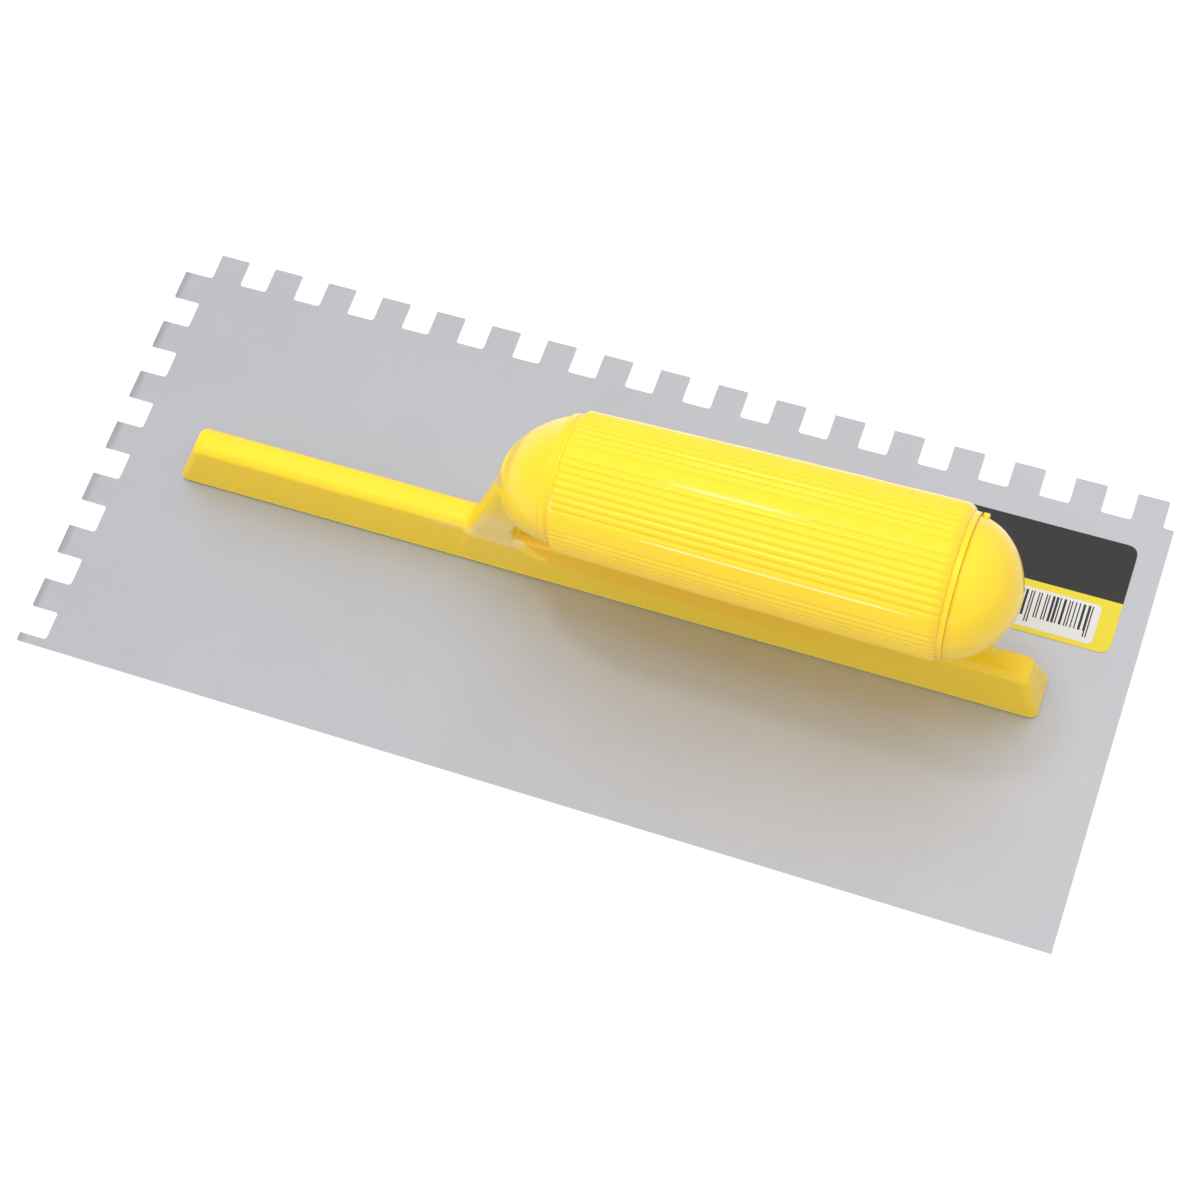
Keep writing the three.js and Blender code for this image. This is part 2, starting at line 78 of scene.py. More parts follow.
# Grip
GRIP_HEIGHT = 54.3 * MM
GRIP_RISE = 1.5 * MM
GRIP_LENGTH = 96.9 * MM
GRIP_REAR_RADIUS = 17.5 * MM
GRIP_FRONT_RADIUS = 19.05 * MM
GRIP_SWELL = 0.2 * MM
GRIP_START = 1.75 * MM
GRIP_FRONT_ROUND = 2.4 * MM
GRIP_RINGS = 8
GRIP_FRONT_RINGS = 9
RING_RADIUS = 17.75 * MM
RING_LENGTH = 1.4 * MM
RING_DROP = 0.65 * MM
RING_EDGE_ROUND = 0.12 * MM
GRIP_END = GRIP_LENGTH + RING_LENGTH
BORE_RADIUS = 14 * MM
BORE_DEPTH = 24 * MM

# Ribs of the grip. The profile gives shares of a pitch, with 1 on a crest and 0 in a groove.
RIB_DEPTH = 0.34 * MM
RIB_PITCH = math.radians(5.98)
RIB_PROFILE = ((0.06, 1), (0.15, 0.93), (0.25, 0.68), (0.34, 0.36), (0.42, 0.1), (0.5, 0),
               (0.58, 0.1), (0.66, 0.36), (0.75, 0.68), (0.85, 0.93), (0.94, 1))
UPPER_GROOVES = 8
TOP_LAND = math.radians(4.4)
SIDE_LAND = math.radians(14.6)
SIDE_LAND_STEPS = 4
LOWER_PITCH = math.radians(5.5)
LOWER_RIB_SHARE = 0.65

# Groove behind the grip
GROOVE_WIDTH = 1.6 * MM
GROOVE_START = GRIP_START - GROOVE_WIDTH
GROOVE_DEPTH = 0.55 * MM
GROOVE_BLEND = 0.7 * MM
GROOVE_EASE = 0.2 * MM
GROOVE_FLANK = 1.3 * MM
GROOVE_SINK = 0.35 * MM
FLANK_RINGS = 9

# Rounded rear end
DOME_RADIUS = 16.2 * MM
DOME_DEPTH = 15.3 * MM
DOME_LIFT = 0.65 * MM
DOME_DROOP = math.tan(math.radians(23))
DOME_END = math.radians(86)
DOME_RADIUS_POWER = 0.43
DOME_EDGE_ROUND = 0.5 * MM
DOME_POINTS = 144
DOME_RINGS = 14

# Neck
NECK_WIDTH = 9.4 * MM
NECK_THICKNESS = 11.2 * MM
NECK_FOOT_X = -30.7 * MM
NECK_LEAN = math.tan(math.radians(90 - 68.7))
NECK_LOWER_RADIUS = 8.6 * MM
NECK_UPPER_RADIUS = 5 * MM
NECK_LOWER_DIP = 5.7 * MM
NECK_ARC_DROP = 0.75 * MM
NECK_REAR_ROUND = 3 * MM
NECK_REAR_ROUND_TOP = 4.6 * MM
NECK_ROUND_RISE = 16 * MM
NECK_FRONT_ROUND = 1.3 * MM
NECK_SINK = 9 * MM
NECK_SLICES = 40
DOME_BLEND = 4.4 * MM
BAR_BLEND = 2.4 * MM
NECK_BAR_INSET = 0.12 * MM
NECK_BAR_REAR = -44 * MM
NECK_BAR_FRONT = -5 * MM
NECK_GRAIN = 0.3 * MM
SETTLE_ROUNDS = 4
SETTLE_STEP = NECK_GRAIN / 30
SETTLE_LEAST_SLOPE = 0.05

# End cap
CAP_RADIUS = 17.1 * MM
CAP_DEPTH = 14 * MM
CAP_DROP = 1.3 * MM
CAP_SEAM = 0.3 * MM
CAP_RIM_X = GRIP_END + CAP_SEAM
CAP_RIM_ROUND = 0.06 * MM
CAP_RIM_REACH = 0.95
CAP_BEND_REACH = 0.7
CAP_BEND_DROP = 0.3
CAP_WALL = 2.6 * MM
CAP_POWER = 1.1
CAP_RINGS = 28
CAP_POINTS = 144
SPIGOT_LENGTH = 7 * MM
SPIGOT_CLEARANCE = 0.3 * MM
NUB_SIZE = (1.6 * MM, 2.4 * MM, 3.6 * MM)
NUB_TOP = 1 * MM
NUB_ANGLE = math.radians(65)
NUB_ROUND = 0.45 * MM
NUB_ROUND_STEPS = 4

SMOOTH_ANGLE = math.radians(38)
WELD = 0.002 * MM


# Meshes

def new_object(name, data):
    item = bpy.data.objects.new(name, data)
    bpy.context.scene.collection.objects.link(item)
    return item


def new_mesh(name, bm):
    mesh = bpy.data.meshes.new(name)
    bm.to_mesh(mesh)
    bm.free()
    return mesh


def finish_piece(mesh, name, replaced, smooth=True):
    """Makes a finished mesh a piece of the body, named as given, and hides the drawing's part it
    replaces.
    """
    mesh.materials.clear()
    if "custom_normal" in mesh.attributes:
        mesh.attributes.remove(mesh.attributes["custom_normal"])
    mesh.polygons.foreach_set("use_smooth", [smooth] * len(mesh.polygons))
    if smooth:
        mesh.set_sharp_from_angle(angle=SMOOTH_ANGLE)
    piece = new_object(name, mesh)
    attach(piece, "root")
    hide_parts(replaced)
    if smooth:
        even = piece.modifiers.new("even_shading", "WEIGHTED_NORMAL")
        even.keep_sharp = True
    return piece


def loft(rings):
    """A closed skin over rings of points, each drawn out from the one before."""
    bm = bmesh.new()
    segments = len(rings[0])
    verts = bmesh.ops.create_circle(bm, cap_ends=False, radius=1, segments=segments)["verts"]
    edges = list(bm.edges)
    for vert, point in zip(verts, rings[0]):
        vert.co = point
    bmesh.ops.contextual_create(bm, geom=edges)
    for ring in rings[1:]:
        geom = bmesh.ops.extrude_edge_only(bm, edges=edges)["geom"]
        grown = {item for item in geom if isinstance(item, bmesh.types.BMVert)}
        verts = [follower(vert, grown) for vert in verts]
        edges = [item for item in geom if isinstance(item, bmesh.types.BMEdge)]
        for vert, point in zip(verts, ring):
            vert.co = point
    bmesh.ops.contextual_create(bm, geom=edges)
    bmesh.ops.recalc_face_normals(bm, faces=bm.faces)
    return bm


def follower(vert, grown):
    """The vertex that was drawn out of this one."""
    for edge in vert.link_edges:
        other = edge.other_vert(vert)
        if other in grown:
            return other


def combine(name, first, steps):
    """Joins closed shells to the first, or cuts them from it, and returns the result's mesh."""
    base = new_object(name, new_mesh(name, first))
    tools = []
    for index, (operation, bm) in enumerate(steps):
        tool_name = f"{name}_tool_{index}"
        tool = new_object(tool_name, new_mesh(tool_name, bm))
        modifier = base.modifiers.new(f"step_{index}", "BOOLEAN")
        modifier.operation = operation
        modifier.solver = "MANIFOLD"
        modifier.object = tool
        tools.append(tool)
    mesh = evaluated(base)
    for item in [base, *tools]:
        discard(item)
    return mesh


def evaluated(item):
    """The mesh of an object with its modifiers applied."""
    depsgraph = bpy.context.evaluated_depsgraph_get()
    depsgraph.update()
    return bpy.data.meshes.new_from_object(item.evaluated_get(depsgraph))


def discard(item):
    old = item.data
    bpy.data.objects.remove(item)
    bpy.data.meshes.remove(old)


def round_point(x, radius, angle, height):
    """A point about an axis along X, at an angle from its top to the plain long edge's side."""
    return Vector((x, HANDLE_Y - radius * math.sin(angle), height + radius * math.cos(angle)))


def circle(x, height, radius):
    return [round_point(x, radius, 2 * math.pi * index / DOME_POINTS, height)
            for index in range(DOME_POINTS)]


def level_ring(rear, front, half, rear_radius, front_radius, z):
    """A level ring round a rectangle with rounded corners."""
    ring = []
    corners = ((rear, -1, rear_radius), (front, -1, front_radius),
               (front, 1, front_radius), (rear, 1, rear_radius))
    for index, (x, side, radius) in enumerate(corners):
        centre_x = x + radius if x == rear else x - radius
        centre_y = HANDLE_Y + side * (half - radius)
        for step in range(CORNER_POINTS):
            angle = math.pi + (index + step / (CORNER_POINTS - 1)) * QUARTER_TURN
            ring.append(Vector((centre_x + radius * math.cos(angle),
                                centre_y + radius * math.sin(angle), z)))
    return ring


# Base bar

def wall_inset(z, lean, radius):
    """How far a leaning wall with a rounded top edge stands in from its foot."""
    slope = math.atan2(lean, BAR_HEIGHT)
    centre_z = BAR_HEIGHT - radius
    tangent_z = centre_z + radius * math.sin(slope)
    if z <= tangent_z:
        return z * lean / BAR_HEIGHT
    rise = min(z - centre_z, radius)
    centre_inset = tangent_z * lean / BAR_HEIGHT + radius * math.cos(slope)
    return centre_inset - math.sqrt(radius ** 2 - rise ** 2)


def bar_shell(rear, front, end_lean):
    """The base bar, or a stretch of it with upright ends."""
    largest = max(BAR_EDGE_RADIUS, BAR_END_RADIUS)
    levels = [*BAR_FOOT_RINGS, ((BAR_HEIGHT - largest) / 2, 0)]
    for step in range(BAR_EDGE_RINGS):
        turn = step / (BAR_EDGE_RINGS - 1) * QUARTER_TURN
        levels.append((BAR_HEIGHT - largest * (1 - math.sin(turn)), 0))
    rings = []
    for z, foot in levels:
        half = BAR_BASE_WIDTH / 2 - wall_inset(z, BAR_SIDE_LEAN, BAR_EDGE_RADIUS) - foot
        start = rear + end_lean * (wall_inset(z, BAR_REAR_LEAN, BAR_END_RADIUS) + foot)
        end = front - end_lean * (wall_inset(z, BAR_FRONT_LEAN, BAR_END_RADIUS) + foot)
        corner = min(BAR_CORNER_RADIUS, half * BAR_CORNER_SHARE)
        rings.append(level_ring(start, end, half, corner, corner, z + BLADE_THICKNESS))
    return loft(rings)


# Neck and rounded rear end

def grip_axis(x):
    return BLADE_THICKNESS + GRIP_HEIGHT + GRIP_RISE * x / GRIP_LENGTH


def neck_rear(z):
    return NECK_FOOT_X + (z - BAR_HEIGHT) * NECK_LEAN


def neck_opening(z):
    """The edge of the finger gap: a lower arc, a leaning line and an upper arc."""
    lean = math.atan(NECK_LEAN)
    foot = NECK_FOOT_X + NECK_THICKNESS
    lower_z = BAR_HEIGHT - NECK_LOWER_DIP + NECK_LOWER_RADIUS
    lower_end = lower_z + NECK_LOWER_RADIUS * math.sin(lean)
    lower_x = foot + (lower_end - BAR_HEIGHT) * NECK_LEAN + NECK_LOWER_RADIUS * math.cos(lean)
    upper_z = GRIP_HEIGHT + DOME_LIFT - DOME_RADIUS - NECK_ARC_DROP - NECK_UPPER_RADIUS
    upper_end = upper_z + NECK_UPPER_RADIUS * math.sin(lean)
    upper_x = foot + (upper_end - BAR_HEIGHT) * NECK_LEAN + NECK_UPPER_RADIUS * math.cos(lean)
    drop = np.clip(lower_z - z, -NECK_LOWER_RADIUS, NECK_LOWER_RADIUS)
    climb = np.clip(z - upper_z, -NECK_UPPER_RADIUS, NECK_UPPER_RADIUS)
    lower = lower_x - np.sqrt(NECK_LOWER_RADIUS ** 2 - drop ** 2)
    upper = upper_x - np.sqrt(NECK_UPPER_RADIUS ** 2 - climb ** 2)
    line = foot + (z - BAR_HEIGHT) * NECK_LEAN
    return np.where(z < lower_end, lower, np.where(z > upper_end, upper, line))


def neck_shell():
    low = BAR_HEIGHT - NECK_SINK
    high = GRIP_HEIGHT
    rings = []
    for step in range(NECK_SLICES):
        z = low + (high - low) * step / (NECK_SLICES - 1)
        rings.append(level_ring(neck_rear(z), float(neck_opening(z)), NECK_WIDTH / 2,
                                NECK_REAR_ROUND, NECK_FRONT_ROUND, z + BLADE_THICKNESS))
    return loft(rings)


def dome_shell():
    rings = []
    for step in range(DOME_RINGS + 1):
        turn = step / DOME_RINGS * DOME_END
        back = DOME_DEPTH * math.sin(turn) ** 2
        radius = DOME_RADIUS * math.cos(turn) ** DOME_RADIUS_POWER
        height = grip_axis(0) + DOME_LIFT - back * DOME_DROOP
        rings.append(circle(GROOVE_START - back, height, radius))
    return loft(rings)


def groove_floor():
    height = grip_axis(0) + DOME_LIFT
    radius = DOME_RADIUS - GROOVE_DEPTH
    return loft([circle(GROOVE_START - GROOVE_WIDTH, height, radius),
                 circle(GRIP_START + GROOVE_WIDTH, height, radius)])


# The neck and the rounded rear end as fields: negative inside, and near the surface the
# distance to it. Where two of them meet, a blend of the fields gives the moulding its fillet.

def round_meet(first, second, radius):
    """The space inside both fields, with the edge between them rounded."""
    first = first + radius
    second = second + radius
    corner = np.hypot(np.maximum(first, 0), np.maximum(second, 0))
    return np.minimum(np.maximum(first, second), 0) + corner - radius


def blend(first, second, reach):
    """The space inside either field, with a fillet where they meet."""
    near = np.clip(1 - np.abs(first - second) / reach, 0, 1)
    return np.minimum(first, second) - near ** 2 * reach / 4


def dome_field(x, y, z):
    back = GROOVE_START - x
    centre = grip_axis(0) + DOME_LIFT - back * DOME_DROOP
    power = 2 / DOME_RADIUS_POWER
    share = np.hypot(y, z - centre) / DOME_RADIUS
    level = np.maximum(back, 0) / DOME_DEPTH - 1 + share ** power
    slope = np.hypot(1 / DOME_DEPTH, power * share ** (power - 1) / DOME_RADIUS)
    return round_meet(level / slope, -back, DOME_EDGE_ROUND)


def neck_field(x, y, z):
    height = z - BLADE_THICKNESS
    rear = neck_rear(height)
    front = neck_opening(height)
    middle = (rear + front) / 2
    rise = np.clip((height - BAR_HEIGHT) / NECK_ROUND_RISE, 0, 1)
    rear_round = NECK_REAR_ROUND + (NECK_REAR_ROUND_TOP - NECK_REAR_ROUND) * rise
    radius = np.where(x < middle, rear_round, NECK_FRONT_ROUND)
    along = np.abs(x - middle) - (front - rear) / 2
    across = np.abs(y) - NECK_WIDTH / 2
    return np.maximum(round_meet(along, across, radius), height - GRIP_HEIGHT)


def bar_field(x, y, z):
    height = z - BLADE_THICKNESS
    lean = BAR_SIDE_LEAN / BAR_HEIGHT
    side = (np.abs(y) - BAR_BASE_WIDTH / 2 + height * lean) * math.cos(math.atan(lean))
    top = height - BAR_HEIGHT
    field = round_meet(side, top, BAR_EDGE_RADIUS) + NECK_BAR_INSET
    ends = np.maximum(NECK_BAR_REAR - x, x - NECK_BAR_FRONT)
    return np.maximum(field, np.maximum(ends, BAR_WALL_START - height))


def floor_field(x, y, z):
    radius = np.hypot(y, z - grip_axis(0) - DOME_LIFT)
    ends = np.maximum(GROOVE_START - GROOVE_WIDTH - x, x - GRIP_START - GROOVE_WIDTH)
    return np.maximum(radius - DOME_RADIUS + GROOVE_DEPTH, ends)


def neck_and_dome_field(points):
    x, y, z = points.T
    y = y - HANDLE_Y
    dome = blend(dome_field(x, y, z), floor_field(x, y, z), GROOVE_BLEND)
    moulding = blend(dome, neck_field(x, y, z), DOME_BLEND)
    return blend(moulding, bar_field(x, y, z), BAR_BLEND)


def settle(bm, field):
    """Moves the vertices along the field's slope until they lie on its surface."""
    points = np.array([vert.co for vert in bm.verts], float)
    for _ in range(SETTLE_ROUNDS):
        value = field(points)
        slope = np.stack([field(points + SETTLE_STEP * axis) - field(points - SETTLE_STEP * axis)
                          for axis in np.eye(3)], axis=1) / (2 * SETTLE_STEP)
        steep = np.maximum((slope ** 2).sum(axis=1), SETTLE_LEAST_SLOPE)
        move = np.clip(value / steep, -NECK_GRAIN, NECK_GRAIN)
        points = points - move[:, None] * slope
    for vert, point in zip(bm.verts, points):
        vert.co = point


def neck_moulding():
    """Neck, rounded rear end and the bar's stretch under them, skinned evenly and settled."""
    bar = bar_shell(NECK_BAR_REAR, NECK_BAR_FRONT, 0)
    mesh = combine("neck_moulding", bar, [
        ("UNION", neck_shell()), ("UNION", dome_shell()), ("UNION", groove_floor())])
    item = new_object("neck_moulding", mesh)
    remesh = item.modifiers.new("even_skin", "REMESH")
    remesh.mode = "VOXEL"
    remesh.voxel_size = NECK_GRAIN
    mesh = evaluated(item)
    discard(item)
    bm = bmesh.new()
    bm.from_mesh(mesh)
    settle(bm, neck_and_dome_field)
    bmesh.ops.smooth_vert(bm, verts=bm.verts, factor=0.5,
                          use_axis_x=True, use_axis_y=True, use_axis_z=True)
    settle(bm, neck_and_dome_field)
    return bm


# Grip

def rib_pattern():
    """Angles round the whole grip from its top, each with 1 on a crest and 0 in a groove."""
    half = [(0, 1), (TOP_LAND / 2, 1), (TOP_LAND, 1)]

    def add_ribs(start, pitch, grooves, depth):
        for groove in range(grooves):
            for share, level in RIB_PROFILE:
                half.append((start + (groove + share) * pitch, 1 - (1 - level) * depth))

    add_ribs(TOP_LAND, RIB_PITCH, UPPER_GROOVES, 1)
    side = TOP_LAND + UPPER_GROOVES * RIB_PITCH
    for step in range(1, SIDE_LAND_STEPS):
        half.append((side + SIDE_LAND * step / SIDE_LAND_STEPS, 1))
    lower = side + SIDE_LAND
    grooves = round((math.pi - lower) / LOWER_PITCH)
    add_ribs(lower, (math.pi - lower) / grooves, grooves, LOWER_RIB_SHARE)
    half.append((math.pi, 1))
    return half + [(2 * math.pi - angle, level) for angle, level in reversed(half[1:-1])]


RIBS = rib_pattern()


def ribbed_ring(x, crest, depth, height):
    return [round_point(x, crest - (1 - level) * depth, angle, height) for angle, level in RIBS]


def grip_radius(x):
    share = x / GRIP_LENGTH
    swell = 4 * GRIP_SWELL * share * (1 - share)
    return GRIP_REAR_RADIUS + (GRIP_FRONT_RADIUS - GRIP_REAR_RADIUS) * share + swell


def flank_rings(start):
    """The barrel's rear flank, which rises from inside the groove's floor and gains its ribs."""
    floor = DOME_RADIUS - GROOVE_DEPTH - GROOVE_SINK
    lifted = grip_axis(0) + DOME_LIFT
    rings = []
    for step in range(FLANK_RINGS + 1):
        share = step / FLANK_RINGS
        rise = share ** 2 * (3 - 2 * share)
        x = start - GROOVE_FLANK * (1 - share)
        height = lifted + (grip_axis(start) - lifted) * rise
        crest = floor + (grip_radius(start) - floor) * rise
        rings.append(ribbed_ring(x, crest, RIB_DEPTH * rise ** 2, height))
    return rings


def grip_shell():
    """The ribbed barrel with its flank behind, and the plain ring in front of it."""
    start = GRIP_START + GROOVE_EASE
    end = GRIP_LENGTH - GRIP_FRONT_ROUND
    rings = flank_rings(start)
    for step in range(1, GRIP_RINGS + 1):
        x = start + (end - start) * step / GRIP_RINGS
        rings.append(ribbed_ring(x, grip_radius(x), RIB_DEPTH, grip_axis(x)))
    drop = grip_radius(end) - RING_RADIUS
    ring_height = grip_axis(GRIP_LENGTH) - RING_DROP
    for step in range(1, GRIP_FRONT_RINGS + 1):
        turn = step / GRIP_FRONT_RINGS * QUARTER_TURN
        x = end + GRIP_FRONT_ROUND * math.sin(turn)
        crest = RING_RADIUS + drop * math.cos(turn)
        height = grip_axis(GRIP_LENGTH) + (ring_height - grip_axis(GRIP_LENGTH)) * math.sin(turn)
        rings.append(ribbed_ring(x, crest, RIB_DEPTH * math.cos(turn), height))
    rings.append(ribbed_ring(GRIP_END - RING_EDGE_ROUND, RING_RADIUS, 0, ring_height))
    rings.append(ribbed_ring(GRIP_END, RING_RADIUS - RING_EDGE_ROUND, 0, ring_height))
    return loft(rings)


def bore_shell():
    height = grip_axis(GRIP_LENGTH) - CAP_DROP
    return loft([circle(GRIP_END - BORE_DEPTH, height, BORE_RADIUS),
                 circle(CAP_RIM_X, height, BORE_RADIUS)])


def make_handle():
    rear = BAR_MIDDLE_X - BAR_LENGTH / 2
    front = BAR_MIDDLE_X + BAR_LENGTH / 2
    mesh = combine("handle_moulding", neck_moulding(), [
        ("UNION", bar_shell(rear, front, 1)),
        ("UNION", grip_shell()),
        ("DIFFERENCE", bore_shell()),
    ])
    return finish_piece(mesh, "handle_moulding", "handle")


# End cap

def cap_arc(depth, radius):
    """The section of a dome, from its tip to the rim's plane."""
    arc = [(CAP_RIM_X + depth, 0)]
    for step in range(1, CAP_RINGS + 1):
        turn = step / CAP_RINGS * QUARTER_TURN
        arc.append((CAP_RIM_X + depth * math.cos(turn) ** CAP_POWER,
                    radius * math.sin(turn) ** CAP_POWER))
    return arc


def cap_profile():
    """The cap's section from its tip over the rim and the spigot to the top of its hollow."""
    spigot = BORE_RADIUS - SPIGOT_CLEARANCE
    inner = spigot - CAP_WALL
    rim = [
        (CAP_RIM_X + CAP_RIM_ROUND - CAP_SEAM, CAP_RADIUS),
        (CAP_RIM_X - CAP_SEAM * CAP_BEND_REACH, CAP_RADIUS - CAP_RIM_ROUND * CAP_BEND_DROP),
        (CAP_RIM_X - CAP_SEAM * CAP_RIM_REACH, CAP_RADIUS - CAP_RIM_ROUND),
        (CAP_RIM_X - CAP_SEAM * CAP_RIM_REACH, spigot),
        (CAP_RIM_X - SPIGOT_LENGTH, spigot),
        (CAP_RIM_X - SPIGOT_LENGTH, inner),
    ]
    hollow = cap_arc(CAP_DEPTH - CAP_WALL, inner)
    return cap_arc(CAP_DEPTH, CAP_RADIUS)[:-1] + rim + hollow[::-1]


def nub_shell(height):
    """The small nub of the mould's gate, on the cap's rim."""
    bm = bmesh.new()
    bmesh.ops.create_cube(bm, size=1)
    bmesh.ops.scale(bm, verts=bm.verts, vec=NUB_SIZE)
    bmesh.ops.bevel(bm, geom=list(bm.edges), offset=NUB_ROUND, segments=NUB_ROUND_STEPS,
                    profile=0.5, affect="EDGES", material=-1)
    top = CAP_RADIUS + NUB_TOP - NUB_SIZE[2] / 2
    bmesh.ops.translate(bm, verts=bm.verts, vec=(0, 0, top))
    turn = Matrix.Rotation(-NUB_ANGLE, 3, "X")
    bmesh.ops.rotate(bm, verts=bm.verts, cent=(0, 0, 0), matrix=turn)
    bmesh.ops.translate(bm, verts=bm.verts, vec=(CAP_RIM_X + NUB_SIZE[0] / 2, HANDLE_Y, height))
    return bm


def make_cap():
    height = grip_axis(GRIP_LENGTH) - CAP_DROP
    bm = bmesh.new()
    last = None
    for along, radius in cap_profile():
        vert = bm.verts.new((along, HANDLE_Y, height + radius))
        if last:
            bm.edges.new((last, vert))
        last = vert
    bmesh.ops.spin(bm, geom=list(bm.verts) + list(bm.edges), cent=(0, HANDLE_Y, height),
                   axis=(1, 0, 0), angle=2 * math.pi, steps=CAP_POINTS, use_merge=True)
    bmesh.ops.remove_doubles(bm, verts=bm.verts, dist=WELD)
    bmesh.ops.recalc_face_normals(bm, faces=bm.faces)
    mesh = combine("grip_cap", bm, [("UNION", nub_shell(height))])
    return finish_piece(mesh, "grip_cap", "end_cap")


# Blade

def make_blade():
    """The drawing's blade with its cut edges just broken, so that they catch the light."""
    bm = bmesh.new()
    bm.from_mesh(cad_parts["blade"].data)
    bmesh.ops.remove_doubles(bm, verts=bm.verts, dist=WELD)
    bmesh.ops.dissolve_limit(bm, angle_limit=BLADE_FLAT_ANGLE, verts=bm.verts, edges=bm.edges)
    sharp = [edge for edge in bm.edges if edge.calc_face_angle(0) > BLADE_EDGE_ANGLE]
    bmesh.ops.bevel(bm, geom=sharp, offset=BLADE_EDGE_ROUND, segments=2, profile=0.5,
                    affect="EDGES", material=-1, clamp_overlap=True)
    mesh = new_mesh("blade_sheet", bm)
    return finish_piece(mesh, "blade_sheet", "blade", smooth=False)


# Materials

class Wire:
    """A shader socket that does arithmetic: each operator adds its Math node."""

    def __init__(self, paint, socket):
        self.paint = paint
        self.socket = socket

    def __add__(self, other):
        return self.paint.math("ADD", self, other)

    def __sub__(self, other):
        return self.paint.math("SUBTRACT", self, other)

    def __rsub__(self, other):
        return self.paint.math("SUBTRACT", other, self)

    def __mul__(self, other):
        return self.paint.math("MULTIPLY", self, other)

    __radd__ = __add__
    __rmul__ = __mul__


class Paint:
    """A node tree whose nodes are added one call at a time."""

    def __init__(self, owner, shader, **constants):
        owner.use_nodes = True
        self.owner = owner
        self.tree = owner.node_tree
        self.shader = self.tree.nodes[shader]
        self.paint_shader(**constants)

    def node(self, kind, settings=None, sockets=None, out=0):
        made = self.tree.nodes.new(kind)
        for key, value in (settings or {}).items():
            setattr(made, key, value)
        for key, value in (sockets or {}).items():
            self.feed(made.inputs[key], value)
        return Wire(self, made.outputs[out])

    def feed(self, socket, value):
        if isinstance(value, Wire):
            self.tree.links.new(value.socket, socket)
        else:
            socket.default_value = value

    def paint_shader(self, **sockets):
        for socket, value in sockets.items():
            self.feed(self.shader.inputs[socket.replace("_", " ")], value)
        return self.owner

    def math(self, operation, *values, clamp=False):
        return self.node("ShaderNodeMath", {"operation": operation, "use_clamp": clamp},
                         dict(enumerate(values)))

    def above(self, value, limit):
        """1 where the value is over the limit, and 0 elsewhere."""
        return self.math("GREATER_THAN", value, limit)

    def distance(self, value, middle):
        return self.math("ABSOLUTE", value - middle)

    def peak(self, value, middle, reach):
        """1 at the middle, falling evenly to 0 at the reach."""
        return self.math("MAXIMUM", 1 - self.distance(value, middle) * (1 / reach), 0)

    def ramp(self, value, start, length):
        """0 up to the start, rising evenly to 1 over the length; a negative one rises backwards."""
        return self.math("MULTIPLY", value - start, 1 / length, clamp=True)

    def place(self):
        return self.node("ShaderNodeTexCoord", out="Object")

    def axes(self, place):
        split = self.node("ShaderNodeSeparateXYZ", sockets={0: place}).socket.node
        return [Wire(self, split.outputs[axis]) for axis in "XYZ"]

    def noise(self, place, scale, detail=2, roughness=0.5):
        return self.node("ShaderNodeTexNoise", sockets={
            "Vector": place, "Scale": scale, "Detail": detail, "Roughness": roughness})

    def streaks(self, place, scales, detail, roughness=0.5, turn=0):
        """Noise with a scale of its own along each axis."""
        stretched = self.node("ShaderNodeMapping", sockets={
            "Vector": place, "Scale": scales, "Rotation": (0, 0, turn)})
        return self.noise(stretched, 1, detail, roughness)

    def mix(self, share, first, second):
        return self.node("ShaderNodeMix", {"data_type": "RGBA"},
                         {"Factor": share, "A": first, "B": second}, out="Result")

    def bump(self, height, strength, distance):
        return self.node("ShaderNodeBump", sockets={
            "Height": height, "Strength": strength, "Distance": distance}, out="Normal")


def finish(name, **constants):
    return Paint(bpy.data.materials.new(name), "Principled BSDF", **constants)


def rgba(red, green, blue):
    return (red, green, blue, 1)


def varied(least_and_extra, cloud):
    """The least value, with up to the extra one added where the cloud is thick."""
    least, extra = least_and_extra
    return least + extra * cloud


# Moulded plastic. A name in SPREAD holds a least value and how much a cloud adds to it.
PLASTIC_IOR = 1.44
PLASTIC_YELLOW = rgba(0.98, 0.645, 0.014)
PLASTIC_YELLOW_LIGHT = rgba(0.99, 0.685, 0.021)
PLASTIC_ROUGH_SPREAD = (0.14, 0.1)
PLASTIC_CLOUD_SCALE = 45
PLASTIC_GLOSS_SCALE = 130
PLASTIC_SKIN_SCALE = 1500
PLASTIC_SKIN_SHARE = 0.25
PLASTIC_CLOUD_SHARE = 2
PLASTIC_SKIN_STRENGTH = 0.05
PLASTIC_SKIN_DEPTH = 0.2 * MM

# Rear edge of the finger gap on the moulding's sides
GAP_EDGE_X = -17.7 * MM
GAP_EDGE_SWEEP = 1.3

# Painted shade: a deeper orange on the bar's upper wall, where the grip shades it
UNDER_GRIP_SHADE_COLOUR = rgba(1, 0.56, 0.006)
UNDER_GRIP_SHADE_LOW = 7 * MM
UNDER_GRIP_SHADE_RISE = 5 * MM
UNDER_GRIP_SHADE_HIGH = BAR_TOP + 0.6 * MM
UNDER_GRIP_SHADE_REAR_FADE = 1.5 * MM
UNDER_GRIP_SHADE_FRONT_FADE = 40 * MM
UNDER_GRIP_SHADE_SCALES = (40, 120, 120)
UNDER_GRIP_SHADE_SPREAD = (0.5, 0.5)

# Painted highlight: a paler line along the bar's foot, where its lower edge catches the light
FOOT_HIGHLIGHT_COLOUR = rgba(0.95, 0.93, 0.16)
FOOT_HIGHLIGHT_TOP = BLADE_THICKNESS + 1.4 * MM
FOOT_HIGHLIGHT_FADE = 0.8 * MM
FOOT_HIGHLIGHT_SCALES = (50, 90, 90)
FOOT_HIGHLIGHT_SPREAD = (0.3, 0.6)
